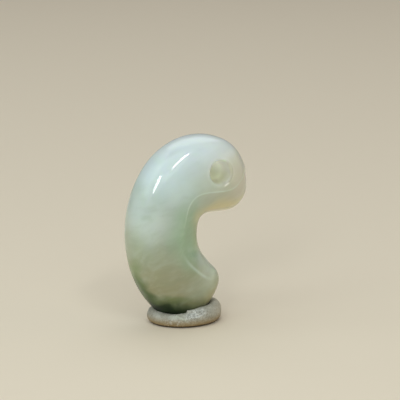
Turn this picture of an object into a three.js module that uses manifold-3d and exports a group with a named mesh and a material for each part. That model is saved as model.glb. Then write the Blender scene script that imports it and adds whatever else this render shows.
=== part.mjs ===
// A magatama, a comma-shaped bead carved from one pebble of jade, standing in a small rolled ring of putty.
// Units are millimetres and +Z is up. The comma lies in the XZ plane with its mouth open towards +X,
// its front face looks towards -Y, and the origin is on the ground below the middle of the bead.
import * as THREE from 'three';
import { mergeVertices } from 'three/addons/utils/BufferGeometryUtils.js';
import Module from 'manifold-3d';

const wasm = await Module();
wasm.setup();

// The bead's outline is one closed cubic B-spline in the plane of the comma, given by control points [x, z].
// BACK runs from the head's corner over the back to the tail, and MOUTH from the tail through the mouth to
// the head. The points of the two pair off, first with last, and each pair gives the body's width there.
const HEAD = [9.8, 27.05];
const BACK = [
  [7.2, 30.25],
  [0.15, 31.65],
  [-7.2, 27.65],
  [-10.9, 19.15],
  [-10.8, 11.95],
  [-8.45, 4.55],
  [-0.8, -2.1],
];
const TAIL = [6.3, 5.9];
const MOUTH = [
  [5.2, 8.3],
  [3.5, 10.35],
  [1.75, 12.45],
  [1.85, 16.9],
  [3.45, 18.15],
  [9.7, 17.25],
  [11.25, 21.75],
];

// The cross-section: a full oval, a little squarer than an ellipse, its inner side ground off to two flats.
const THICKNESS = 9.67;
const THICKNESS_TO_WIDTH = 0.8;
const THICKNESS_HARDNESS = 6;
const SQUARENESS = 2.3;
const NOSE = { angle: 21.5, height: 0.35, sharpness: 8 };
const ARRIS = { height: 0.75, sharpness: 28 };

// The arris is the crisp edge between a face and an inner flat. Its angle round the section, in degrees from
// the inner side, is given at even steps from the head to the tail. The flats fade out at both ends.
const ARRIS_ANGLES = [74, 77, 69, 80, 73, 76, 64, 53, 49];
const FLAT_FADE = { headStart: 0, headFull: 0.1, tailFull: 0.8, tailEnd: 0.98 };

// The suspension hole, drilled from both faces so that it narrows to a waist in the middle.
const HOLE = { x: 4.0, z: 25.15, mouthRadius: 2.2, waistRadius: 1.35, halfDepth: 4.65, flare: 2.4 };
const DRILL_OVERRUN = 3;

// The putty ring: a rolled strand bent to an oval. Its height is given every 45 degrees, starting at +X and
// going round by the front.
const RING = { x: -0.35, length: 12.5, width: 11.1, strand: 2.4 };
const RING_HEIGHTS = [[3.3], [3.2], [3.05], [1.85], [2.45], [2.3], [2.4], [2.6]];
const RING_FLAT_SHARE = 0.04;
const SEAT_GAP = 0.3;

// How finely the surfaces are divided.
const STATIONS = 64;
const FLAT_ROWS = 5;
const FACE_ROWS = 13;
const DRILL_STEPS = 5;
const DRILL_SIDES = 28;
const RING_STEPS = 72;
const RING_ROWS = 14;
const MERGE_DISTANCE = 1e-4;
const TANGENT_STEP = 0.01;

const OUTLINE = [HEAD, ...BACK, TAIL, ...MOUTH];
const SPANS = BACK.length + 1;

// A point of a closed uniform cubic B-spline, t spans from its first value. A value is a list of coordinates.
function closedSpline(values, t) {
  const span = Math.floor(t);
  const f = t - span;
  const weights = [(1 - f) ** 3, 3 * f ** 3 - 6 * f ** 2 + 4, 3 * (f + f ** 2 - f ** 3) + 1, f ** 3];
  const near = weights.map((_, k) => values.at((span + k - 1) % values.length));
  return values[0].map((_, axis) => near.reduce((sum, value, k) => sum + (weights[k] * value[axis]) / 6, 0));
}

// A point of the outline, moved outwards by grow.
function outlinePoint(t, grow) {
  const before = new THREE.Vector2(...closedSpline(OUTLINE, t - TANGENT_STEP));
  const along = new THREE.Vector2(...closedSpline(OUTLINE, t + TANGENT_STEP)).sub(before).normalize();
  const outward = new THREE.Vector2(along.y, -along.x);
  return new THREE.Vector2(...closedSpline(OUTLINE, t)).addScaledVector(outward, grow);
}

// The oval's radius at an angle, for a half width and half thickness of one.
function ovalRadius(angle) {
  const u = Math.abs(Math.cos(angle)) ** SQUARENESS;
  const v = Math.abs(Math.sin(angle)) ** SQUARENESS;
  return (u + v) ** (-1 / SQUARENESS);
}

function ovalPoint(angle) {
  return new THREE.Vector2(Math.cos(angle), Math.sin(angle)).multiplyScalar(ovalRadius(angle));
}

// The line of the inner flat, through the oval's points at the nose and the arris: its normal and distance.
function flatLine(noseAngle, arrisAngle) {
  const nose = ovalPoint(noseAngle);
  const arris = ovalPoint(arrisAngle);
  const normal = new THREE.Vector2(arris.y - nose.y, nose.x - arris.x).normalize();
  return { normal, distance: normal.dot(arris) };
}

// The section's radius at an angle: the oval, cut by the flat as far as the flat shows at this station.
function sectionRadius(angle, flat, share) {
  const side = Math.abs(Math.sin(angle));
  const reach = (Math.cos(angle) * flat.normal.x + side * flat.normal.y) / flat.distance;
  const rise = THREE.MathUtils.clamp((side - NOSE.height) / (ARRIS.height - NOSE.height), 0, 1);
  const sharpness = THREE.MathUtils.lerp(NOSE.sharpness, ARRIS.sharpness, rise);
  const oval = ovalRadius(angle);
  return oval * (1 + (share * oval * Math.max(reach, 0)) ** sharpness) ** (-1 / sharpness);
}

// The angles of a section's points: from the nose to the arris, on to the back, and mirrored on the
// other face.
function sectionAngles(arrisAngle) {
  const front = [];
  for (let i = 0; i < FLAT_ROWS; i++) front.push((arrisAngle * i) / FLAT_ROWS);
  for (let i = 0; i <= FACE_ROWS; i++) front.push(arrisAngle + ((Math.PI - arrisAngle) * i) / FACE_ROWS);
  const back = front.slice(1, -1).reverse().map((angle) => 2 * Math.PI - angle);
  return [...front, ...back];
}

// The bead's surface, lofted across the outline's two sides from the head's corner to the tail.
function beadGeometry(stations, grow) {
  const arrisCurve = new THREE.SplineCurve(ARRIS_ANGLES.map((angle, i) => new THREE.Vector2(i, angle)));
  const positions = [];
  const indices = [];
  let rows = 0;
  for (let i = 0; i <= stations; i++) {
    const s = i / stations;
    const outer = outlinePoint(s * SPANS, grow);
    const inner = outlinePoint(-s * SPANS, grow);
    if (i === 0 || i === stations) {
      positions.push(outer.x, 0, outer.y);
      continue;
    }
    const centre = outer.clone().add(inner).multiplyScalar(0.5);
    const half = inner.clone().sub(outer).multiplyScalar(0.5);
    const full = (half.length() * THICKNESS_TO_WIDTH * 2) / THICKNESS;
    const levelled = full * (1 + full ** THICKNESS_HARDNESS) ** (-1 / THICKNESS_HARDNESS);
    const depth = (THICKNESS / 2) * levelled + grow;
    const arrisAngle = THREE.MathUtils.degToRad(arrisCurve.getPoint(s).y);
    const flat = flatLine(THREE.MathUtils.degToRad(NOSE.angle), arrisAngle);
    const share = THREE.MathUtils.smoothstep(s, FLAT_FADE.headStart, FLAT_FADE.headFull)
      * (1 - THREE.MathUtils.smoothstep(s, FLAT_FADE.tailFull, FLAT_FADE.tailEnd));
    const angles = sectionAngles(arrisAngle);
    rows = angles.length;
    for (const angle of angles) {
      const radius = sectionRadius(angle, flat, share);
      const place = centre.clone().addScaledVector(half, radius * Math.cos(angle));
      positions.push(place.x, -depth * radius * Math.sin(angle), place.y);
    }
  }
  const at = (i, j) => 1 + (i - 1) * rows + (j % rows);
  const last = 1 + (stations - 1) * rows;
  for (let j = 0; j < rows; j++) {
    indices.push(0, at(1, j + 1), at(1, j));
    for (let i = 1; i < stations - 1; i++) {
      indices.push(at(i, j), at(i, j + 1), at(i + 1, j), at(i, j + 1), at(i + 1, j + 1), at(i + 1, j));
    }
    indices.push(last, at(stations - 1, j), at(stations - 1, j + 1));
  }
  return indexedGeometry(positions, indices);
}

// The drill's path: two funnels that meet at the waist, turned about the Y axis.
function drillGeometry() {
  const wall = [];
  for (let i = -DRILL_STEPS; i <= DRILL_STEPS; i++) {
    const share = i / DRILL_STEPS;
    const radius = HOLE.waistRadius + (HOLE.mouthRadius - HOLE.waistRadius) * Math.abs(share) ** HOLE.flare;
    wall.push(new THREE.Vector2(radius, share * HOLE.halfDepth));
  }
  const end = HOLE.halfDepth + DRILL_OVERRUN;
  const profile = [
    new THREE.Vector2(0, -end),
    new THREE.Vector2(HOLE.mouthRadius, -end),
    ...wall,
    new THREE.Vector2(HOLE.mouthRadius, end),
    new THREE.Vector2(0, end),
  ];
  return new THREE.LatheGeometry(profile, DRILL_SIDES).translate(HOLE.x, 0, HOLE.z);
}

// The ring's surface: a rounded strand, pressed flat underneath, carried round an oval.
function ringGeometry() {
  const positions = [];
  const indices = [];
  const halfStrand = RING.strand / 2;
  for (let i = 0; i < RING_STEPS; i++) {
    const turn = (i / RING_STEPS) * 2 * Math.PI;
    const [height] = closedSpline(RING_HEIGHTS, (i / RING_STEPS) * RING_HEIGHTS.length);
    for (let j = 0; j < RING_ROWS; j++) {
      const roll = (j / RING_ROWS) * 2 * Math.PI;
      const out = halfStrand * Math.cos(roll);
      const x = RING.x + (RING.length / 2 - halfStrand + out) * Math.cos(turn);
      const y = -(RING.width / 2 - halfStrand + out) * Math.sin(turn);
      const lift = 0.5 - RING_FLAT_SHARE / 2 + (0.5 + RING_FLAT_SHARE / 2) * Math.sin(roll);
      positions.push(x, y, height * Math.max(0, lift));
    }
  }
  const at = (i, j) => (i % RING_STEPS) * RING_ROWS + (j % RING_ROWS);
  for (let i = 0; i < RING_STEPS; i++) {
    for (let j = 0; j < RING_ROWS; j++) {
      indices.push(at(i, j), at(i, j + 1), at(i + 1, j), at(i, j + 1), at(i + 1, j + 1), at(i + 1, j));
    }
  }
  return indexedGeometry(positions, indices);
}

function indexedGeometry(positions, indices) {
  const geometry = new THREE.BufferGeometry();
  geometry.setAttribute('position', new THREE.Float32BufferAttribute(positions, 3));
  geometry.setIndex(indices);
  return geometry;
}

// A closed geometry as a solid that can be cut.
function toSolid(geometry) {
  const bare = geometry.clone();
  bare.deleteAttribute('normal');
  bare.deleteAttribute('uv');
  const merged = mergeVertices(bare, MERGE_DISTANCE);
  return new wasm.Manifold(new wasm.Mesh({
    numProp: 3,
    vertProperties: new Float32Array(merged.attributes.position.array),
    triVerts: new Uint32Array(merged.index.array),
  }));
}

// A solid as a named mesh with its own material.
function toMesh(name, solid, look) {
  const { vertProperties, triVerts } = solid.getMesh();
  const geometry = indexedGeometry(vertProperties, Array.from(triVerts));
  geometry.computeVertexNormals();
  const mesh = new THREE.Mesh(geometry, new THREE.MeshStandardMaterial(look));
  mesh.name = name;
  return mesh;
}

const bead = toSolid(beadGeometry(STATIONS, 0)).subtract(toSolid(drillGeometry()));
const ring = toSolid(ringGeometry()).subtract(toSolid(beadGeometry(STATIONS / 2, SEAT_GAP)));

const magatama = new THREE.Group();
magatama.add(toMesh('magatama', bead, { color: 0xa9b69f, roughness: 0.12, metalness: 0 }));
magatama.add(toMesh('putty_ring', ring, { color: 0x98947f, roughness: 0.7, metalness: 0 }));

export default magatama;
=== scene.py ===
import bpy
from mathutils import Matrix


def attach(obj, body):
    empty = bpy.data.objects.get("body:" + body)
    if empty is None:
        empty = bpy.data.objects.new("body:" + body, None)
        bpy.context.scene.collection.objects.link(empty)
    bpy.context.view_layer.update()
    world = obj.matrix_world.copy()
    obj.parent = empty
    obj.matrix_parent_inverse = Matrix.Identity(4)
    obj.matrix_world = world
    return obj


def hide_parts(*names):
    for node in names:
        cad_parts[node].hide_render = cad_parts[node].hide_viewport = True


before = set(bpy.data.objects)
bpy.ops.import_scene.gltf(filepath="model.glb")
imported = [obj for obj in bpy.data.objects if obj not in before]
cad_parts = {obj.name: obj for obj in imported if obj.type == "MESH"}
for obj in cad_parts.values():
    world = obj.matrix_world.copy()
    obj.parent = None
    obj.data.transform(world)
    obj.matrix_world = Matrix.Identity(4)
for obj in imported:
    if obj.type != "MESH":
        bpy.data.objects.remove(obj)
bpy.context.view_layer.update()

import math

import bmesh
import bpy
import numpy as np
from mathutils import Quaternion, Vector, noise
from mathutils.bvhtree import BVHTree

MM = 0.001
BODY = "root"

# The bead's outline: a closed cubic B-spline in the XZ plane. BACK runs from the head's corner over the back
# to the tail, and MOUTH from the tail through the mouth to the head. Each side has SPANS spans, and their
# points pair off, first with last.
HEAD_CORNER = (9.8, 27.05)
BACK = (
    (7.2, 30.25), (0.15, 31.65), (-7.2, 27.65), (-10.9, 19.15), (-10.8, 11.95), (-8.45, 4.55), (-0.8, -2.1),
)
TAIL_CORNER = (6.3, 5.9)
MOUTH = (
    (5.2, 8.3), (3.5, 10.35), (1.75, 12.45), (1.85, 16.9), (3.45, 18.15), (9.7, 17.25), (11.25, 21.75),
)
SPANS = len(BACK) + 1
BEAD_TOP = 31

# The section: an oval whose inner side is ground to two flats, one towards each face. Going round from the
# innermost point, a flat cuts the oval at NOSE_ANGLE and again at the arris, where it meets the face. The
# arris angles are given at even steps from head to tail. The flat's blend into the oval sharpens as the sine
# of the angle goes from NOSE_SINE to ARRIS_SINE, and the flats are gone by FLAT_END of the way to the tail.
# FLAT_ROWS of the mesh's rows lie on one flat.
THICKNESS = 9.67
SQUARENESS = 2.3
NOSE_ANGLE = 21.5
ARRIS_ANGLES = (74, 77, 69, 80, 73, 76, 64, 53, 49)
NOSE_SINE, ARRIS_SINE = 0.35, 0.75
NOSE_SHARPNESS, ARRIS_SHARPNESS = 8, 28
FLAT_END = 0.98
FLAT_ROWS, ALL_ROWS = 28, 200

# The suspension hole: two funnels drilled from the faces, meeting at a waist, with a lip worn round. The
# drill left faint rings in the wall, which follow a sine of DRILL_RING_PHASE radians in each funnel. It also
# slipped below the front mouth: each slip is a radius and a depth, and none goes past SLIP_LIMIT. The wall's
# attribute "bore" is 0 at a mouth and 1 from BORE_DEPTH inwards.
HOLE_X, HOLE_Z = 4.0, 25.15
HOLE_RIM, HOLE_THROAT, HOLE_WAIST = 2.27, 1.87, 1.35
LIP_DEPTH = 0.5
LIP_STEPS, WALL_STEPS = 8, 48
FUNNEL_FLARE = 1.7
DRILL_RING_DEPTH, DRILL_RING_PHASE = 0.014, 45
BORE_DEPTH = 3.0
SLIPS = ((2.72, 0.03), (3.12, 0.02))
SLIP_WIDTH = 0.11
SLIP_ANGLE, SLIP_REACH = -57, 15
SLIP_LIMIT = 4

# The slight waves of hand polishing: height, and waves per millimetre.
POLISH_WAVES = ((0.025, 0.2), (0.007, 0.65))

# The putty strand, bent round to an oval. Heights are given every 45 degrees, from +X round by the front. Its
# ends lap at LAP_ANGLE, in degrees from +X, and it stays TOUCH clear of the bead.
RING_X, RING_LENGTH, RING_WIDTH, STRAND = -0.35, 12.5, 11.1, 2.4
RING_HEIGHTS = (3.3, 3.2, 3.05, 1.85, 2.45, 2.3, 2.4, 2.6)
TOUCH = 0.06
LAP_ANGLE = 109

# Marks on the putty's front: the middle and reach in degrees round the ring, and in radians round the strand.
# The ridge runs slantwise over the strand, at RIDGE_SLOPE radians round it for each radian round the ring.
PRESSED = ((96, 17), (0.75, 0.6))
CREASED = ((134, 17), (-0.2, 0.75))
PALE_PATCH = ((133, 7), (0.8, 0.35))
RIDGE_MIDDLE, RIDGE_REACH = 119.5, 10
RIDGE_SLOPE, RIDGE_START, RIDGE_WIDTH, RIDGE_HEIGHT = 2.865, -5.45, 0.15, 0.09
PRESS_DEPTH = 0.04

# The jade's colour by height, as a share of BEAD_TOP. It is partly the stone's own colour and partly painted
# light and shade: the pale bluish white high up stands in part for sheen and light from above, and the dark
# low down stands in part for shade.
JADE_AND_LIGHT_RAMP = (
    (0.0, (0.17, 0.19, 0.09)), (0.18, (0.27, 0.26, 0.14)), (0.28, (0.31, 0.32, 0.20)),
    (0.4, (0.35, 0.39, 0.28)), (0.55, (0.42, 0.50, 0.44)), (0.7, (0.50, 0.60, 0.57)),
    (0.82, (0.61, 0.71, 0.73)), (1.0, (0.55, 0.61, 0.61)),
)

# Soft clouds of colour in the jade, each an oval: centre, half sizes, strength and tint. Most are the
# stone's own clouds; a few are partly painted light and shade, noted where they stand.
JADE_AND_LIGHT_ZONES = (
    ((-0.4, -2.0, 15.9), (3.9, 6.0, 5.7), 0.9, (0.30, 0.47, 0.30)),
    ((3.1, -2.2, 9.4), (2.9, 5.0, 2.2), 0.85, (0.60, 0.67, 0.57)),
    ((3.6, -1.5, 6.6), (3.2, 5.0, 2.2), 0.7, (0.48, 0.52, 0.39)),
    ((1.4, -1.2, 15.3), (1.8, 3.0, 5.0), 0.75, (0.37, 0.47, 0.27)),
    # Amber under the head: partly painted warm light thrown up from below.
    ((6.9, -1.5, 18.3), (5.6, 6.0, 3.4), 0.9, (0.68, 0.60, 0.34)),
    ((3.6, -4.0, 27.0), (5.0, 6.0, 4.0), 0.65, (0.71, 0.75, 0.74)),
    ((7.0, -4.4, 23.6), (3.2, 3.0, 2.9), 0.75, (0.45, 0.43, 0.33)),
    # Darker olive under the tail: partly painted shade beside the ring.
    ((3.2, -2.5, 4.6), (2.6, 3.0, 2.0), 0.85, (0.35, 0.32, 0.16)),
    ((9.0, -3.0, 24.4), (3.6, 6.0, 4.2), 0.7, (0.62, 0.59, 0.49)),
    ((-9.6, -0.4, 21.8), (1.6, 4.0, 3.4), 0.5, (0.42, 0.51, 0.44)),
    ((-10.9, -0.4, 13.6), (2.0, 3.4, 4.4), 0.5, (0.34, 0.38, 0.24)),
    ((-4.8, -4.0, 7.6), (5.0, 7.0, 3.0), 0.45, (0.35, 0.34, 0.21)),
    ((-8.8, -3.0, 18.4), (3.1, 5.0, 3.8), 0.7, (0.57, 0.65, 0.62)),
    ((-7.2, -1.8, 26.2), (2.4, 3.2, 3.6), 0.4, (0.47, 0.57, 0.57)),
    # Pale bluish white on the upper front: partly painted sheen of light from above and the left.
    ((-3.2, -4.6, 24.2), (2.6, 3.0, 3.2), 0.5, (0.64, 0.76, 0.77)),
    ((3.0, -4.6, 22.2), (3.0, 3.0, 1.9), 0.6, (0.45, 0.47, 0.36)),
    # Pale bluish white on the upper front: partly painted sheen of light from above and the left.
    ((0.2, -4.4, 27.9), (3.2, 4.0, 2.8), 0.45, (0.66, 0.77, 0.82)),
    ((0.6, -4.6, 23.8), (2.4, 3.0, 2.4), 0.3, (0.48, 0.56, 0.46)),
    ((-0.3, -4.0, 6.2), (2.8, 4.0, 2.2), 0.4, (0.42, 0.47, 0.38)),
    ((-7.8, -3.6, 19.5), (1.1, 2.5, 0.6), 0.17, (0.30, 0.38, 0.31)),
    ((-8.9, -3.1, 17.9), (0.7, 2.0, 0.55), 0.15, (0.24, 0.36, 0.22)),
    ((0.6, -2.9, 11.2), (1.4, 2.0, 1.5), 0.55, (0.56, 0.63, 0.59)),
)

# The green of the foot, and the green that runs from it up the outer edge, given in the same way. Towards
# the ground the foot goes near black: that is painted shade, where the ring hides the underside, over the
# stone's dark green.
FOOT_GREEN_AND_SHADE = (
    ((-10.2, 0.6, 8.4), (1.8, 3.0, 3.8), 0.7, (0.16, 0.25, 0.07)),
    ((-9.0, 0.5, 6.2), (2.3, 2.7, 3.0), 0.85, (0.05, 0.12, 0.006)),
    ((-8.2, 0.6, 5.4), (2.2, 2.4, 2.4), 0.9, (0.025, 0.075, 0.002)),
    ((-7.0, -1.2, 4.3), (1.6, 1.6, 1.4), 0.8, (0.03, 0.08, 0.003)),
    ((-4.6, -2.0, 4.0), (2.4, 6.0, 1.1), 0.5, (0.10, 0.16, 0.04)),
    # Near-black painted shade at the foot, where the ring hides the underside.
    ((-6.3, -1.5, 0.9), (4.6, 8.0, 2.5), 1.0, (0.012, 0.045, 0.004)),
    ((-6.4, -1.2, 1.9), (2.4, 3.2, 1.4), 1.0, (0.002, 0.014, 0.001)),
    ((-4.2, -2.4, 1.4), (3.4, 3.6, 1.45), 0.85, (0.008, 0.022, 0.004)),
    # Painted shade along the bottom beside the ring's right side.
    ((1.8, -2.5, 2.9), (4.2, 5.0, 1.4), 0.5, (0.15, 0.17, 0.08)),
)

# The lean of the thin veils in the stone, in degrees.
VEIL_LEAN = 20

# The pale line along the arris: a thin line from the head into the mouth, and a wider vein at the tail. The
# middle and reach of a stretch are shares of the way from head to tail, and a strength comes first in each
# stretch of the thin line. Widths are in radians round the section.
THIN_LINE, THIN_LINE_WIDTH = ((1.3, 0.1, 0.07), (0.3, 0.2, 0.05), (1.0, 0.36, 0.13)), 0.022
VEIN, VEIN_WIDTH = (0.735, 0.08), 0.055

# A small painted highlight below the hole's front mouth, where the lip catches the light. The directions
# along and across it have a length of one over its half size. The spot after them is the polished oval
# round it.
GLINT_CENTRE = (5.08, -4.4, 23.13)
GLINT_ALONG, GLINT_ACROSS = (1.7, 0, 1.0), (-3.2, 0, 5.6)
GLINT_SPOT, GLINT_SPOT_SIZE = (5.25, -4.4, 23.1), (0.8, 3.0, 0.8)

# The camera: degrees round from the front and degrees up, distance and aim.
CAMERA_AZIMUTH, CAMERA_ELEVATION, CAMERA_DISTANCE = -28, 12, 330
CAMERA_AIM = (2.59, 0, 19.93)
LENS, SENSOR = 181.2, 36

# Lights: name, shape, azimuth, elevation, distance and size in metres, radiance, colour and turn.
LIGHT_AIM = (0, 0, 20)
LIGHTS = (
    ("pane_left", "ELLIPSE", -42.5, 26, 0.6, (0.10, 0.19), 11, (0.95, 1, 1), 0),
    ("pane_high", "ELLIPSE", -6.3, 42.7, 0.6, (0.28, 0.04), 15, (0.95, 1, 1), 42),
    ("window", "ELLIPSE", -42, 41, 0.7, (1.1, 0.7), 1.12, (0.85, 0.97, 1.0), 0),
    ("sky_left", "RECTANGLE", -100, 44, 0.8, (0.7, 0.7), 0.9, (0.85, 0.96, 1.0), 0),
    ("warm_right", "RECTANGLE", 62, 18, 0.9, (0.8, 0.5), 0.45, (1.0, 0.84, 0.6), 0),
    ("sky_above", "RECTANGLE", 150, 66, 0.8, (0.8, 0.7), 1.05, (0.9, 0.97, 1.0), 0),
)
WORLD_COLOUR, WORLD_STRENGTH = (0.9, 0.86, 0.8, 1), 0.3

# The floor: half its side, and how far it lies below the ring, so that the two never share a plane.
FLOOR_REACH, FLOOR_DROP = 4000, 0.02
FLOOR_COLOUR, FLOOR_ROUGHNESS = (0.78, 0.68, 0.54, 1), 0.6


class Wire:
    """A number or a vector in a node tree. Arithmetic on it adds Math nodes, or Vector Math nodes."""

    def __init__(self, nodes, socket):
        self.nodes, self.socket = nodes, socket
        self.is_vector = socket.type in ("VECTOR", "RGBA")

    def math(self, operation, *others):
        if self.is_vector:
            return self.nodes.vector(operation, self, *others)
        return self.nodes.math(operation, self, *others)

    def __add__(self, other):
        return self.math("ADD", other)

    def __sub__(self, other):
        return self.math("SUBTRACT", other)

    def __mul__(self, other):
        if self.is_vector:
            return self.nodes.vector("SCALE", self, scale=other)
        return self.math("MULTIPLY", other)

    def __truediv__(self, other):
        return self.math("DIVIDE", other)

    def __pow__(self, other):
        return self.math("POWER", other)

    def __mod__(self, other):
        return self.math("FLOORED_MODULO", other)

    def __rsub__(self, other):
        return self.nodes.math("SUBTRACT", other, self)

    def __rtruediv__(self, other):
        return self.nodes.math("DIVIDE", other, self)

    def __neg__(self):
        return self * -1

    def __abs__(self):
        return self.math("ABSOLUTE")

    __radd__ = __add__
    __rmul__ = __mul__

    def clamp(self, low=0.0, high=1.0):
        return self.math("MAXIMUM", low).math("MINIMUM", high)

    def rise(self, start, end):
        """0 before start, 1 after end, and smooth between them."""
        share = ((self - start) / (end - start)).clamp()
        return share * share * (3 - 2 * share)

    def bell(self, middle, reach, power=2):
        """1 in the middle, falling to 0 on both sides. A higher power gives a flatter top."""
        return (-(((self - middle) / reach) ** power)).math("EXPONENT")

    def stretch(self, *sizes):
        """A vector, each part times its own size."""
        return self.math("MULTIPLY", sizes)

    def length(self):
        return self.math("LENGTH")

    def dot(self, other):
        return self.math("DOT_PRODUCT", other)

    def parts(self):
        return [self.nodes.add("ShaderNodeSeparateXYZ", {}, {0: self}, output=axis) for axis in range(3)]


class Nodes:
    """Adds nodes to a tree: every node is made by add, which sets its settings and then its sockets."""

    def __init__(self, tree):
        self.tree = tree

    def add(self, kind, settings, inputs, output=0):
        node = self.tree.nodes.new(kind)
        for name, value in settings.items():
            if name == "stops":
                self.set_stops(node.color_ramp, value)
            else:
                setattr(node, name, value)
        for key, value in inputs.items():
            self.plug(value, node.inputs[key])
        if not node.outputs:
            return node
        return Wire(self, node.outputs[output])

    def plug(self, value, socket):
        if hasattr(value, "socket"):
            self.tree.links.new(value.socket, socket)
        else:
            socket.default_value = value

    def set_stops(self, ramp, stops):
        while len(ramp.elements) < len(stops):
            ramp.elements.new(1)
        for element, (place, colour) in zip(ramp.elements, stops):
            element.position = place
            element.color = (*colour, 1)

    def math(self, operation, *values):
        return self.add("ShaderNodeMath", {"operation": operation}, dict(enumerate(values)))

    def vector(self, operation, *values, scale=None):
        inputs = dict(enumerate(values))
        if scale is not None:
            inputs["Scale"] = scale
        output = 1 if operation in ("LENGTH", "DOT_PRODUCT") else 0
        return self.add("ShaderNodeVectorMath", {"operation": operation}, inputs, output)

    def join(self, x, y, z):
        return self.add("ShaderNodeCombineXYZ", {}, {0: x, 1: y, 2: z})

    def blend(self, share, first, second):
        """A colour between two colours."""
        inputs = {0: share}
        for key, colour in ((6, first), (7, second)):
            inputs[key] = (*colour, 1) if isinstance(colour, tuple) else colour
        return self.add("ShaderNodeMix", {"data_type": "RGBA"}, inputs, output=2)

    def noise(self, place, scale, detail=3.0, roughness=0.55, output="Fac"):
        return self.add("ShaderNodeTexNoise", {}, {
            "Vector": place, "Scale": scale, "Detail": detail, "Roughness": roughness}, output=output)

    def attribute(self, name, output="Vector"):
        """A mesh attribute, in a material."""
        return self.add("ShaderNodeAttribute", {"attribute_name": name}, {}, output=output)

    def named(self, name, kind):
        """A mesh attribute, in Geometry Nodes."""
        return self.add("GeometryNodeInputNamedAttribute", {"data_type": kind}, {"Name": name})

    def store(self, geometry, name, value):
        """Keeps a vector on each point of a mesh, as an attribute."""
        settings = {"data_type": "FLOAT_VECTOR", "domain": "POINT"}
        return self.add("GeometryNodeStoreNamedAttribute", settings, {
            "Geometry": geometry, "Name": name, "Value": value})

    def sample(self, geometry, index, value, kind):
        """A value at one point of a mesh."""
        return self.add("GeometryNodeSampleIndex", {"data_type": kind}, {
            "Geometry": geometry, "Value": value, "Index": index})

    def grid(self, columns, rows):
        """A flat mesh, and the shares 0 to 1 of the way along its columns and its rows."""
        mesh = self.add("GeometryNodeMeshGrid", {}, {
            "Size X": 1.0, "Size Y": 1.0, "Vertices X": columns, "Vertices Y": rows})
        u, v, _ = self.add("GeometryNodeInputPosition", {}, {}).parts()
        return mesh, u + 0.5, v + 0.5


def geometry_tree(name, inputs):
    """A Geometry Nodes tree with a geometry in and out, and named inputs of the given kinds."""
    tree = bpy.data.node_groups.new(name, "GeometryNodeTree")
    tree.interface.new_socket("Geometry", in_out="INPUT", socket_type="NodeSocketGeometry")
    tree.interface.new_socket("Geometry", in_out="OUTPUT", socket_type="NodeSocketGeometry")
    for label, kind in inputs.items():
        tree.interface.new_socket(label, in_out="INPUT", socket_type="NodeSocket" + kind)
    nodes = Nodes(tree)
    entry = tree.nodes.new("NodeGroupInput")
    wires = {socket.name: Wire(nodes, socket) for socket in entry.outputs if socket.name}
    return tree, nodes, wires


def finish_tree(nodes, geometry, material):
    """Ends a tree in Realize Instances, smooth shading and Set Material."""
    geometry = nodes.add("GeometryNodeRealizeInstances", {}, {"Geometry": geometry})
    geometry = nodes.add("GeometryNodeSetShadeSmooth", {}, {"Geometry": geometry, "Shade Smooth": True})
    geometry = nodes.add("GeometryNodeSetMaterial", {}, {"Geometry": geometry, "Material": material})
    nodes.add("NodeGroupOutput", {}, {0: geometry})


def grow(name, base, tree, values):
    """A plain mesh object from a base mesh and a Geometry Nodes tree with its inputs set."""
    seed = bpy.data.objects.new(name + "_seed", base)
    bpy.context.scene.collection.objects.link(seed)
    modifier = seed.modifiers.new("nodes", "NODES")
    modifier.node_group = tree
    for item in tree.interface.items_tree:
        if item.in_out == "INPUT" and item.name in values:
            modifier[item.identifier] = values[item.name]
    evaluated = seed.evaluated_get(bpy.context.evaluated_depsgraph_get())
    mesh = bpy.data.meshes.new_from_object(evaluated)
    seed.modifiers.clear()
    bpy.data.objects.remove(seed)
    mesh.name = name
    piece = bpy.data.objects.new(name, mesh)
    bpy.context.scene.collection.objects.link(piece)
    return piece


def spline_weights(f):
    """The four weights of a uniform cubic B-spline, a share f along its span."""
    return [
        (1 - f) ** 3 / 6,
        (3 * f ** 3 - 6 * f ** 2 + 4) / 6,
        (3 * f + 3 * f ** 2 - 3 * f ** 3 + 1) / 6,
        f ** 3 / 6,
    ]


def oval(angle, squareness):
    """The radius at an angle of an oval whose half width and half height are 1."""
    across = abs(angle.math("COSINE")) ** squareness
    return (across + abs(angle.math("SINE")) ** squareness) ** (-1 / squareness)


def rail(nodes, cage, t):
    """The outline's point, t spans on from the head's corner."""
    points = 2 * SPANS
    here = nodes.add("GeometryNodeInputPosition", {}, {})
    span = t.math("FLOOR")
    a, b, c, d = [nodes.sample(cage, (span + k) % points, here, "FLOAT_VECTOR") * weight
                  for k, weight in enumerate(spline_weights(t - span), -1)]
    return a + b + c + d


def arris_angle(nodes, cage, along):
    """The arris angle here, by a smooth curve through the given angles."""
    t = along * SPANS
    span = t.math("FLOOR").clamp(0, SPANS - 1)
    f = t - span
    degrees = nodes.named("arris", "FLOAT")
    a, b, c, d = [nodes.sample(cage, (span + k).clamp(0, SPANS), degrees, "FLOAT") for k in (-1, 0, 1, 2)]
    start, end = (c - a) / 2, (d - b) / 2
    cubic = (2 * b - 2 * c + start + end) * f ** 3 + (3 * c - 3 * b - 2 * start - end) * f ** 2
    return (cubic + start * f + b) * (math.pi / 180)


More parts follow.
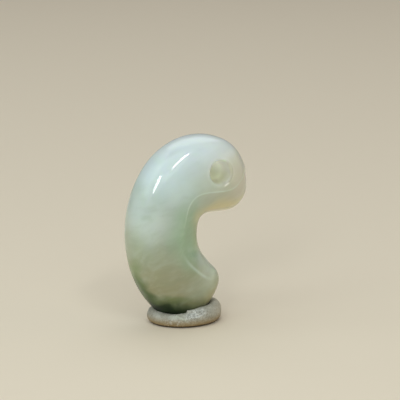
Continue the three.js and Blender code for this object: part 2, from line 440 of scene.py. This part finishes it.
def section_radius(wires, angle, arris, share):
    """The section's radius: the oval, cut by the flat as far as share says, with a fine keel on the arris."""
    nose, squareness = wires["Nose angle"], wires["Squareness"]
    nose_radius, arris_radius = oval(nose, squareness), oval(arris, squareness)
    nose_x, nose_y = nose.math("COSINE") * nose_radius, nose.math("SINE") * nose_radius
    arris_x, arris_y = arris.math("COSINE") * arris_radius, arris.math("SINE") * arris_radius
    normal_x, normal_y = arris_y - nose_y, nose_x - arris_x
    distance = normal_x * arris_x + normal_y * arris_y
    sine, cosine = angle.math("SINE"), angle.math("COSINE")
    reach = ((cosine * normal_x + sine * normal_y) / distance).math("MAXIMUM", 0)
    up_flat = ((sine - NOSE_SINE) / (ARRIS_SINE - NOSE_SINE)).clamp()
    sharpness = NOSE_SHARPNESS + (ARRIS_SHARPNESS - NOSE_SHARPNESS) * up_flat
    radius = oval(angle, squareness)
    radius = radius * (1 + (share * radius * reach) ** sharpness) ** (-1 / sharpness)
    keel = share * (angle - arris).bell(0, wires["Keel width"])
    return radius * (1 + wires["Keel"] * keel)


def bead_tree(material):
    """The bead: a loft across the outline's two sides, with an oval section that has two flats inside."""
    tree, nodes, wires = geometry_tree("bead_loft", {
        "Stations": "Int", "Rows": "Int", "Flat share": "Float", "Thickness": "Float",
        "Thickness to width": "Float", "Hardness": "Float", "Squareness": "Float", "Nose angle": "Float",
        "Flat fades in": "Float", "Flat fades out": "Float", "Keel": "Float", "Keel width": "Float",
    })
    cage = wires["Geometry"]
    grid, along, turn = nodes.grid(wires["Stations"], wires["Rows"])
    outer, inner = rail(nodes, cage, along * SPANS), rail(nodes, cage, -(along * SPANS))
    centre, half = (outer + inner) * 0.5, (inner - outer) * 0.5
    thickness, hardness = wires["Thickness"], wires["Hardness"]
    full = half.length() * wires["Thickness to width"] * 2 / thickness
    depth = thickness / 2 * full * (1 + full ** hardness) ** (-1 / hardness)

    arris, flat_share = arris_angle(nodes, cage, along), wires["Flat share"]
    mirrored = turn.math("GREATER_THAN", 0.5)
    front = turn + mirrored * (1 - 2 * turn)
    on_flat = arris * (front / flat_share).clamp()
    on_face = (math.pi - arris) * ((front - flat_share) / (0.5 - flat_share)).clamp()
    angle = on_flat + on_face
    share = along.rise(0, wires["Flat fades in"]) * (1 - along.rise(wires["Flat fades out"], FLAT_END))
    radius = section_radius(wires, angle, arris, share)
    side_sign = 1 - 2 * mirrored
    swing = nodes.join(0, -(depth * radius * angle.math("SINE") * side_sign), 0)
    place = centre + half * (radius * angle.math("COSINE")) + swing
    marked = nodes.store(grid, "arris", nodes.join(angle - arris, share, along))
    loft = nodes.add("GeometryNodeSetPosition", {}, {"Geometry": marked, "Position": place})
    closed = nodes.add("GeometryNodeMergeByDistance", {}, {"Geometry": loft, "Distance": 1e-7})
    finish_tree(nodes, closed, material)
    return tree


def bead_cage():
    """The outline's control points as a mesh, with the arris angle of each step from head to tail."""
    mesh = bpy.data.meshes.new("bead_cage")
    points = (HEAD_CORNER, *BACK, TAIL_CORNER, *MOUTH)
    mesh.from_pydata([(x * MM, 0, z * MM) for x, z in points], [], [])
    arris = mesh.attributes.new("arris", "FLOAT", "POINT")
    for item, angle in zip(arris.data, ARRIS_ANGLES):
        item.value = angle
    return mesh


def hole_profile(front, back):
    """The hole's radius and depth from face to face: a rounded lip, a funnel, and the same mirrored."""
    bends = [math.pi / 2 * k / LIP_STEPS for k in range(1, LIP_STEPS + 1)]
    rounding = [(HOLE_RIM - (HOLE_RIM - HOLE_THROAT) * math.sin(bend), LIP_DEPTH * (1 - math.cos(bend)))
                for bend in bends]
    start, end = front / MM + LIP_DEPTH, back / MM - LIP_DEPTH
    profile = [(radius, front / MM + depth) for radius, depth in rounding]
    for k in range(1, WALL_STEPS):
        share = abs(2 * k / WALL_STEPS - 1)
        rings = DRILL_RING_DEPTH * math.sin(share * DRILL_RING_PHASE) * math.sin(math.pi * share)
        radius = HOLE_WAIST + (HOLE_THROAT - HOLE_WAIST) * share ** FUNNEL_FLARE + rings
        profile.append((radius, start + (end - start) * k / WALL_STEPS))
    profile += [(radius, back / MM - depth) for radius, depth in reversed(rounding)]
    return profile


def from_axis(co):
    """The distance from the hole's axis, and the angle round it."""
    across, up = co.x - HOLE_X * MM, co.z - HOLE_Z * MM
    return math.hypot(across, up), math.atan2(up, across)


def side_of(vert):
    """-1 on the front face and 1 on the back."""
    return math.copysign(1, vert.co.y)


def walk_rim(edge_verts, side):
    """The rim of one mouth, in order from its rightmost point upwards."""
    rim_verts = {vert for vert in edge_verts if side_of(vert) == side}

    def beside(vert):
        return [edge.other_vert(vert) for edge in vert.link_edges if edge.is_boundary]

    first = max(rim_verts, key=lambda vert: vert.co.x)
    loop = [first, max(beside(first), key=lambda vert: vert.co.z)]
    while len(loop) < len(rim_verts):
        loop.append(next(vert for vert in beside(loop[-1]) if vert is not loop[-2]))
    return loop


def round_rim(loop):
    """Moves a rim on to the mouth's circle, with its points evened out."""
    passes = 12
    angles = np.unwrap([from_axis(vert.co)[1] for vert in loop])
    for _ in range(passes):
        before = np.append(angles[-1] - 2 * math.pi, angles[:-1])
        after = np.append(angles[1:], angles[0] + 2 * math.pi)
        angles = (before + 2 * angles + after) / 4
    for vert, angle in zip(loop, angles):
        vert.co.x = (HOLE_X + HOLE_RIM * math.cos(angle)) * MM
        vert.co.z = (HOLE_Z + HOLE_RIM * math.sin(angle)) * MM


def ease_verts(verts, rim, near):
    """Evens out the mesh round the mouths, most beside the rim and not at all from near outwards."""
    passes, strength = 20, 0.6
    for _ in range(passes):
        moved = {}
        for vert in verts:
            ring = [edge.other_vert(vert).co for edge in vert.link_edges]
            pull = strength * (1 - (from_axis(vert.co)[0] - rim) / (near - rim))
            moved[vert] = vert.co.lerp(sum(ring, Vector()) / len(ring), max(0, pull))
        for vert, co in moved.items():
            vert.co = co


def line_hole(bm, bore, front_rim, back_rim):
    """Joins the two rims by the hole's wall, and marks on it how deep it is."""
    columns = []
    for start, end in zip(front_rim, back_rim):
        angle = from_axis(start.co)[1]
        spoke = Vector((math.cos(angle), 0, math.sin(angle)))
        column = [start]
        for radius, y in hole_profile(start.co.y, end.co.y):
            vert = bm.verts.new((Vector((HOLE_X, y, HOLE_Z)) + spoke * radius) * MM)
            vert[bore] = min(1, min(y - start.co.y / MM, end.co.y / MM - y) / BORE_DEPTH)
            column.append(vert)
        columns.append([*column, end])
    for left, right in zip(columns, columns[1:] + columns[:1]):
        for k in range(len(left) - 1):
            bm.faces.new((left[k], right[k], right[k + 1], left[k + 1]))


def drill(piece):
    """Opens the hole: the mesh is cut back round both mouths, eased to circles and joined by the wall."""
    rim = HOLE_RIM * MM
    cut, near, far = rim * 1.02, rim * 2, 20 * MM
    bm = bmesh.new()
    bm.from_mesh(piece.data)
    bm.normal_update()
    surface = BVHTree.FromBMesh(bm)
    bore = bm.verts.layers.float.new("bore")
    inside = [vert for vert in bm.verts if from_axis(vert.co)[0] < cut]
    bmesh.ops.delete(bm, geom=inside, context="VERTS")
    edge_verts = {vert for edge in bm.edges if edge.is_boundary for vert in edge.verts}
    rims = [walk_rim(edge_verts, side) for side in (-1, 1)]
    for loop in rims:
        round_rim(loop)
    free = [vert for vert in bm.verts if vert not in edge_verts and from_axis(vert.co)[0] < near]
    ease_verts(free, rim, near)
    for vert in [*free, *edge_verts]:
        outside = Vector((vert.co.x, side_of(vert) * far, vert.co.z))
        vert.co.y = surface.ray_cast(outside, Vector((0, -side_of(vert), 0)))[0].y

    bm.faces.ensure_lookup_table()
    jade_slot = bm.faces[0].material_index
    line_hole(bm, bore, *rims)
    for face in bm.faces:
        face.smooth = True
        face.material_index = jade_slot
    bmesh.ops.recalc_face_normals(bm, faces=bm.faces)
    bm.to_mesh(piece.data)
    bm.free()


def polish(piece):
    """Gives the bead the slight waves of hand polishing, and slips of the drill below the hole's mouth."""
    mesh = piece.data
    normals = [vert.normal.copy() for vert in mesh.vertices]
    for vert, normal in zip(mesh.vertices, normals):
        place = vert.co / MM
        wave = sum(height * noise.noise(place * rate) for height, rate in POLISH_WAVES)
        out = math.hypot(place.x - HOLE_X, place.z - HOLE_Z)
        if HOLE_RIM < out < SLIP_LIMIT and place.y < 0:
            angle = math.degrees(math.atan2(place.z - HOLE_Z, place.x - HOLE_X))
            window = math.exp(-((angle - SLIP_ANGLE) / SLIP_REACH) ** 4)
            for radius, depth in SLIPS:
                wave -= depth * window * math.exp(-((out - radius) / SLIP_WIDTH) ** 2)
        vert.co += normal * wave * MM


def roll_strand(nodes, wires):
    """The rolled strand, flat underneath, its ends lapped. The attribute "strand" tells a point's place."""
    heights = nodes.named("height", "FLOAT")
    grid, turn_share, roll_share = nodes.grid(wires["Steps"], wires["Rows"])
    turn, roll = turn_share * (2 * math.pi), roll_share * (2 * math.pi)
    roll = roll - roll.math("GREATER_THAN", math.pi) * (2 * math.pi)
    t = turn_share * len(RING_HEIGHTS)
    span = t.math("FLOOR")
    height = sum(
        weight * nodes.sample(wires["Geometry"], (span + k) % len(RING_HEIGHTS), heights, "FLOAT")
        for k, weight in enumerate(spline_weights(t - span), -1))
    half_strand = wires["Strand"] / 2
    side, up = roll.math("COSINE"), roll.math("SINE")

    # The lap is a step that leans round the strand and fades on both sides. Beside it the strand is pinched.
    outside = side.math("MAXIMUM", 0)
    past_lap = wires["Lap angle"] - 0.35 * outside - turn
    fade = (-(abs(past_lap) * 4)).math("EXPONENT") * (1 - (-up).rise(-0.3, 0.5))
    step = (past_lap * 80).math("TANH") * fade
    from_lap = abs(wires["Lap angle"] - turn)
    pinch = (1 - from_lap.rise(0.2, 0.75)) * roll.bell(0.42, 0.25)
    out = half_strand * side + wires["Pinch"] * pinch + wires["Lap"] * 0.6 * step * outside
    height = height + wires["Lap"] * step
    x = wires["Centre X"] + (wires["Length"] / 2 - half_strand + out) * turn.math("COSINE")
    y = -((wires["Width"] / 2 - half_strand + out) * turn.math("SINE"))
    z = height * (0.48 + 0.52 * up).math("MAXIMUM", 0)
    strand = nodes.store(grid, "strand", nodes.join(turn, roll, 0))
    strand = nodes.add("GeometryNodeSetPosition", {}, {"Geometry": strand, "Position": nodes.join(x, y, z)})
    strand = nodes.add("GeometryNodeMergeByDistance", {}, {"Geometry": strand, "Distance": 1e-6})
    return nodes.add("GeometryNodeFlipFaces", {}, {"Mesh": strand})


def press_strand(nodes, wires, strand, here, normal):
    """Dents, grain, creases and the ridge. The attribute "marks" says where the colours change with them."""
    turned, rolled, _ = nodes.named("strand", "FLOAT_VECTOR").parts()

    def grain(scale, detail):
        return nodes.add("ShaderNodeTexNoise", {"noise_dimensions": "4D"}, {
            "Vector": here * (scale / MM), "W": wires["Seed"], "Scale": 1.0, "Detail": detail,
            "Roughness": 0.6}) - 0.5

    def spot(place):
        """A soft-edged spot on the strand."""
        (turn_middle, turn_reach), (roll_middle, roll_reach) = place
        on_turn = turned.bell(math.radians(turn_middle), math.radians(turn_reach), 4)
        return on_turn * rolled.bell(roll_middle, roll_reach, 4)

    pressed, creased, patch = spot(PRESSED), spot(CREASED), spot(PALE_PATCH) * 0.5
    on_ridge = turned.bell(math.radians(RIDGE_MIDDLE), math.radians(RIDGE_REACH), 4)
    ridge = on_ridge * (rolled - RIDGE_SLOPE * turned).bell(RIDGE_START, RIDGE_WIDTH)
    creases = nodes.noise(nodes.join(turned * 14 + rolled * 1.6, rolled * 1.1, 0), 1.0, 2.0, 0.5) - 0.5
    off_ground = (here.parts()[2] / (0.5 * MM)).clamp()
    hollows = wires["Dents"] * grain(0.45, 1.0) + wires["Grain"] * grain(2.2, 3.0)
    hollows = hollows + pressed * (wires["Grit"] * grain(3.4, 2.0) + PRESS_DEPTH * MM)
    hollows = hollows + creased * wires["Creases"] * creases
    relief = (ridge * (RIDGE_HEIGHT * MM) - hollows) * off_ground
    strand = nodes.store(strand, "marks", nodes.join(pressed, creased, ridge + patch))
    return nodes.add("GeometryNodeSetPosition", {}, {"Geometry": strand, "Offset": normal * relief})


def clear_bead(nodes, wires, strand, here, normal):
    """Pushes the strand clear of the bead. The second push mends what the first leaves at a bend."""
    pushes = 2
    bead = nodes.add("GeometryNodeObjectInfo", {}, {"Object": wires["Bead"]}, output="Geometry")
    near = nodes.add("GeometryNodeProximity", {"target_element": "FACES"}, {
        "Geometry": bead}, output="Position")
    facing = nodes.add("GeometryNodeSampleNearestSurface", {"data_type": "FLOAT_VECTOR"}, {
        "Mesh": bead, "Value": normal})
    clear = (here - near).dot(facing)
    push = facing * (wires["Touch"] - clear).math("MAXIMUM", 0)
    for _ in range(pushes):
        strand = nodes.add("GeometryNodeSetPosition", {}, {"Geometry": strand, "Offset": push})
    return strand


def ring_tree(material):
    """The putty ring: a rolled strand, pressed here and there, and hollowed where the bead sits."""
    tree, nodes, wires = geometry_tree("putty_strand", {
        "Bead": "Object", "Steps": "Int", "Rows": "Int", "Centre X": "Float", "Length": "Float",
        "Width": "Float", "Strand": "Float", "Touch": "Float", "Lap angle": "Float", "Lap": "Float",
        "Pinch": "Float", "Dents": "Float", "Grain": "Float", "Grit": "Float", "Creases": "Float",
        "Seed": "Float",
    })
    here = nodes.add("GeometryNodeInputPosition", {}, {})
    normal = nodes.add("GeometryNodeInputNormal", {}, {})
    strand = roll_strand(nodes, wires)
    strand = press_strand(nodes, wires, strand, here, normal)
    strand = clear_bead(nodes, wires, strand, here, normal)
    finish_tree(nodes, strand, material)
    return tree


def ring_base():
    """The strand's height every 45 degrees, as points of a mesh."""
    mesh = bpy.data.meshes.new("ring_base")
    mesh.from_pydata([(0, 0, 0)] * len(RING_HEIGHTS), [], [])
    heights = mesh.attributes.new("height", "FLOAT", "POINT")
    for item, height in zip(heights.data, RING_HEIGHTS):
        item.value = height * MM
    return mesh


def new_material(name):
    """An empty material, and the means to add its nodes."""
    material = bpy.data.materials.new(name)
    material.use_nodes = True
    material.node_tree.nodes.clear()
    return material, Nodes(material.node_tree)


def zone(place, centre, sizes, soft=0.6):
    """1 inside an oval and 0 outside it, with a soft edge."""
    reach = (place - centre).stretch(*(1 / size for size in sizes)).length()
    return 1 - reach.rise(1 - soft, 1 + soft)


def stone_and_painted_light(nodes, place, drift, loose):
    """The stone's colour, with painted light and shade in it: by height, with clouds, veils and the dark
    foot, whose near black is painted shade. Gives the finest veil as well.
    """
    _, y, z = loose.parts()
    # By height: partly the stone's colour, partly painted light high up and painted shade low down.
    colour = nodes.add("ShaderNodeValToRGB", {"stops": JADE_AND_LIGHT_RAMP}, {"Fac": z / BEAD_TOP})
    for centre, sizes, strength, tint in JADE_AND_LIGHT_ZONES:
        colour = nodes.blend(zone(loose, centre, sizes) * strength, colour, tint)

    lean = math.radians(VEIL_LEAN)
    along = place.dot((math.cos(lean), 0.25, math.sin(lean)))
    across = place.dot((-math.sin(lean), 0.1, math.cos(lean)))
    flow = nodes.join(along * 0.12, y * 0.16, across * 0.3) + drift * 0.7
    low = 1 - (z / BEAD_TOP).rise(0.5, 0.85)
    veil = nodes.noise(flow, 1.0, roughness=0.5) - 0.5
    colour = nodes.blend(veil.clamp(0, 0.3) * (0.6 + 0.6 * low), colour, (0.58, 0.66, 0.61))
    colour = nodes.blend((-veil).clamp(0, 0.3) * (0.3 + 1.0 * low), colour, (0.20, 0.27, 0.17))
    fine = nodes.noise(flow, 3.2) - 0.5
    colour = nodes.blend(fine.clamp(0, 0.3) * (0.25 + 0.25 * low), colour, (0.60, 0.66, 0.58))
    colour = nodes.blend((-fine).clamp(0, 0.3) * (0.2 + 0.4 * low), colour, (0.22, 0.27, 0.18))

    # The foot: the stone's green, with near-black painted shade where the ring hides the underside.
    ragged = loose + (nodes.noise(place, 0.5, 2.0, output="Color") - (0.5, 0.5, 0.5)) * 1.5
    for centre, sizes, strength, tint in FOOT_GREEN_AND_SHADE:
        colour = nodes.blend(zone(ragged, centre, sizes, 0.5) * strength, colour, tint)
    return colour, fine


def add_arris_line(nodes, colour, place):
    """Draws the pale line along the arris, broken here and there."""
    off, share, station = nodes.attribute("arris").parts()
    thin_along = sum(strength * station.bell(middle, reach, 4) for strength, middle, reach in THIN_LINE)
    thin = off.bell(0, THIN_LINE_WIDTH) * thin_along
    wide = off.bell(0, VEIN_WIDTH) * station.bell(*VEIN, 4)
    breaks = (0.35 + 1.3 * nodes.noise(place, 0.5)).clamp()
    return nodes.blend(share * (0.7 * thin + 0.4 * wide) * breaks, colour, (0.62, 0.74, 0.68))


def add_hole(nodes, colour, from_hole):
    """Tints the hole's wall and lip, with painted light and shade, and paints a glow (emission) in place of
    the light that comes through the stone there.
    """
    bore = nodes.attribute("bore", "Fac")
    high = from_hole.parts()[2].rise(-1.6, 1.4)
    colour = nodes.blend(bore.rise(0.0, 0.15) * 0.6, colour, (0.52, 0.52, 0.42))
    # Paler deep in the bore: partly painted light, for the light that comes through the stone.
    colour = nodes.blend(bore.rise(0.25, 0.8) * 0.8, colour, (0.68, 0.67, 0.55))
    # Darker olive on the lower wall: painted shade.
    colour = nodes.blend(bore.rise(0.1, 0.5) * (1 - high) * 0.6, colour, (0.45, 0.47, 0.27))
    # The painted glow, brighter on the upper wall.
    mouth_glow = nodes.blend(high, (0.045, 0.035, 0.025), (0.155, 0.155, 0.175))
    deep_glow = nodes.blend(high, (0.13, 0.14, 0.095), (0.26, 0.28, 0.27))
    glow = nodes.blend(bore.rise(0.02, 0.3), (0.0, 0.0, 0.0), mouth_glow)
    glow = nodes.blend(bore.rise(0.6, 1.0), glow, deep_glow)
    out = from_hole.length()
    # Darker on the lip's lower right: painted shade.
    lip = out.rise(1.8, 2.05) * (1 - out.rise(2.2, 2.4))
    lower_right = from_hole.dot((0.4, 0, -0.2)).clamp()
    return nodes.blend(lip * lower_right * 0.6, colour, (0.38, 0.36, 0.27)), glow


def add_painted_glint(nodes, colour, place, y):
    """Paints a highlight below the hole, on the front alone."""
    from_glint = place - GLINT_CENTRE
    length, breadth = from_glint.dot(GLINT_ALONG), from_glint.dot(GLINT_ACROSS)
    glint = (-(length ** 4 + breadth ** 2)).math("EXPONENT") * y.math("LESS_THAN", 0)
    return nodes.blend(glint * 0.8, colour, (0.88, 0.88, 0.84))


def jade_material():
    """Jade: light goes into the stone, under a coat of polish that is dull round the hole and at the foot.
    Its colour carries painted light and shade, and the hole has a painted glow.
    """
    material, nodes = new_material("jade")
    place = nodes.add("ShaderNodeTexCoord", {}, {}, output="Object") * (1 / MM)
    drift = nodes.noise(place, 0.13, 2.0, output="Color") - (0.5, 0.5, 0.5)
    loose = place + drift * 5
    _, y, z = loose.parts()
    from_hole = (place - (HOLE_X, 0, HOLE_Z)).stretch(1, 0, 1)
    colour, fine = stone_and_painted_light(nodes, place, drift, loose)
    colour = add_arris_line(nodes, colour, place)
    colour, glow = add_hole(nodes, colour, from_hole)
    # A painted highlight below the hole.
    colour = add_painted_glint(nodes, colour, place, y)
    hole_dull = (1 - from_hole.length().rise(2.3, 2.75)) * (1 - zone(loose, GLINT_SPOT, GLINT_SPOT_SIZE))
    shine = 0.15 + 0.85 * z.rise(2.5, 6.5)
    # Emission Color is the painted glow in the hole.
    shader = nodes.add("ShaderNodeBsdfPrincipled", {"subsurface_method": "RANDOM_WALK"}, {
        "Base Color": colour, "Roughness": 0.42 + 0.2 * fine, "IOR": 1.32,
        "Coat Weight": (1 - hole_dull) * shine, "Coat Roughness": 0.055, "Coat IOR": 1.62,
        "Subsurface Weight": 1.0, "Subsurface Radius": (0.9, 1.0, 0.75), "Subsurface Scale": 0.0035,
        "Emission Color": glow, "Emission Strength": 1.0})
    nodes.add("ShaderNodeOutputMaterial", {}, {"Surface": shader})
    return material


def putty_material():
    """Grey putty: matt, paler where it was pressed, with grit, and darker in the hollows of the grit. Its
    colour
    also carries painted light and shade: paler towards the right end, darker and brownish below, and near
    black at its base as a contact shadow.
    """
    material, nodes = new_material("putty")
    place = nodes.add("ShaderNodeTexCoord", {}, {}, output="Object") * (1 / MM)
    grit = nodes.noise(place, 3.4, 4.0, 0.7)
    smear = nodes.noise(place.stretch(0.8, 0.8, 1.6), 0.6, 3.0, 0.6)
    x, _, z = place.parts()
    # The lower part gets painted shade and warm bounce light, and the very base a near-black painted contact
    # shadow.
    low, contact_shadow = 1 - z.rise(0.185, 1.85), 1 - z.rise(0.175, 0.5)
    pressed, creased, pale = nodes.attribute("marks").parts()
    colour = nodes.blend(smear.rise(0.35, 0.65), (0.31, 0.30, 0.24), (0.41, 0.40, 0.335))
    # Paler towards the right end: painted light.
    colour = nodes.blend(x.rise(1.5, 6.0) * 0.75, colour, (0.57, 0.53, 0.42))
    # Darker and brownish towards the bottom: painted shade and warm light thrown up from below.
    colour = nodes.blend(low * 0.95, colour, (0.30, 0.20, 0.07))
    colour = nodes.blend(pressed * 0.8, colour, (0.48, 0.49, 0.455))
    colour = nodes.blend(pale * 0.9, colour, (0.52, 0.55, 0.45))
    crumbs = grit.rise(0.5, 0.62) * (0.12 + 0.75 * pressed + 0.2 * creased)
    # Darker in the grit's hollows.
    dark_hollows = (1 - grit.rise(0.34, 0.5)) * (0.4 + 0.3 * pressed)
    colour = nodes.blend(crumbs, colour, (0.74, 0.74, 0.70))
    colour = nodes.blend(dark_hollows, colour, (0.13, 0.12, 0.09))
    # Near black at the very base: painted contact shadow.
    colour = nodes.blend(contact_shadow * 0.95, colour, (0.035, 0.016, 0.002))
    bump = nodes.add("ShaderNodeBump", {}, {"Strength": 0.8, "Distance": 0.1 * MM, "Height": grit})
    shader = nodes.add("ShaderNodeBsdfPrincipled", {}, {
        "Base Color": colour, "Roughness": 0.42 + 0.25 * smear, "Normal": bump})
    nodes.add("ShaderNodeOutputMaterial", {}, {"Surface": shader})
    return material


def direction(azimuth, elevation):
    """The direction of a camera or a light from the object: degrees round from the front, and degrees up."""
    azimuth, elevation = math.radians(azimuth), math.radians(elevation)
    level = math.cos(elevation)
    return Vector((math.sin(azimuth) * level, -math.cos(azimuth) * level, math.sin(elevation)))


def make_camera():
    """The camera: to the left of the front face, a little above it, with a long lens."""
    back = direction(CAMERA_AZIMUTH, CAMERA_ELEVATION)
    data = bpy.data.cameras.new("camera")
    data.lens, data.sensor_width = LENS, SENSOR
    data.clip_start, data.clip_end = 0.01, 50
    camera = bpy.data.objects.new("camera", data)
    camera.location = (Vector(CAMERA_AIM) + back * CAMERA_DISTANCE) * MM
    camera.rotation_euler = (-back).to_track_quat("-Z", "Y").to_euler()
    bpy.context.scene.collection.objects.link(camera)
    bpy.context.scene.camera = camera
    bpy.context.scene.view_settings.view_transform = "Standard"


def add_light(name, shape, azimuth, elevation, distance, size, radiance, colour, turn):
    """A soft light that shines on the bead and is evenly bright over its face."""
    back = direction(azimuth, elevation)
    data = bpy.data.lights.new(name, "AREA")
    data.shape = shape
    data.size, data.size_y = size
    area = size[0] * size[1] * (math.pi / 4 if shape == "ELLIPSE" else 1)
    data.energy = radiance * math.pi * area
    data.color = colour
    lamp = bpy.data.objects.new(name, data)
    lamp.location = Vector(LIGHT_AIM) * MM + back * distance
    facing = (-back).to_track_quat("-Z", "Y") @ Quaternion((0, 0, 1), math.radians(turn))
    lamp.rotation_euler = facing.to_euler()
    bpy.context.scene.collection.objects.link(lamp)


def make_floor():
    """The pale floor under the ring."""
    mesh = bpy.data.meshes.new("floor")
    reach = FLOOR_REACH * MM
    corners = [(-reach, -reach, 0), (reach, -reach, 0), (reach, reach, 0), (-reach, reach, 0)]
    mesh.from_pydata(corners, [], [(0, 1, 2, 3)])
    material, nodes = new_material("floor")
    shader = nodes.add("ShaderNodeBsdfPrincipled", {}, {
        "Base Color": FLOOR_COLOUR, "Roughness": FLOOR_ROUGHNESS})
    nodes.add("ShaderNodeOutputMaterial", {}, {"Surface": shader})
    mesh.materials.append(material)
    floor = bpy.data.objects.new("floor", mesh)
    floor.location.z = -FLOOR_DROP * MM
    bpy.context.scene.collection.objects.link(floor)


def make_studio():
    """A pale floor, soft light all round, a broad sky up on the left and two small bright panes in it."""
    make_floor()
    world = bpy.data.worlds.new("studio")
    bpy.context.scene.world = world
    world.use_nodes = True
    background = world.node_tree.nodes["Background"]
    background.inputs["Color"].default_value = WORLD_COLOUR
    background.inputs["Strength"].default_value = WORLD_STRENGTH
    for row in LIGHTS:
        add_light(*row)


def make_bead(jade):
    """The bead: the loft, then its hole, then its polish."""
    bead = grow("jade_bead", bead_cage(), bead_tree(jade), {
        "Stations": 401, "Rows": ALL_ROWS + 1, "Flat share": FLAT_ROWS / ALL_ROWS,
        "Thickness": THICKNESS * MM, "Thickness to width": 0.8, "Hardness": 6.0, "Squareness": SQUARENESS,
        "Nose angle": math.radians(NOSE_ANGLE), "Flat fades in": 0.1, "Flat fades out": 0.8,
        "Keel": 0.006, "Keel width": 0.024})
    drill(bead)
    polish(bead)
    return bead


def make_ring(putty, bead):
    """The putty ring, pushed clear of the bead."""
    return grow("putty_strand", ring_base(), ring_tree(putty), {
        "Bead": bead, "Steps": 421, "Rows": 101, "Centre X": RING_X * MM, "Length": RING_LENGTH * MM,
        "Width": RING_WIDTH * MM, "Strand": STRAND * MM, "Touch": TOUCH * MM,
        "Lap angle": math.radians(LAP_ANGLE), "Lap": 0.24 * MM, "Pinch": 0.12 * MM, "Dents": 0.3 * MM,
        "Grain": 0.2 * MM, "Grit": 0.75 * MM, "Creases": 0.6 * MM, "Seed": 3.0})


def main():
    make_camera()
    jade, putty = jade_material(), putty_material()
    bead = make_bead(jade)
    ring = make_ring(putty, bead)
    for piece, node, slot in ((bead, "magatama", "jade"), (ring, "putty_ring", "putty")):
        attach(piece, BODY)
        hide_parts(node)
    make_studio()


main()
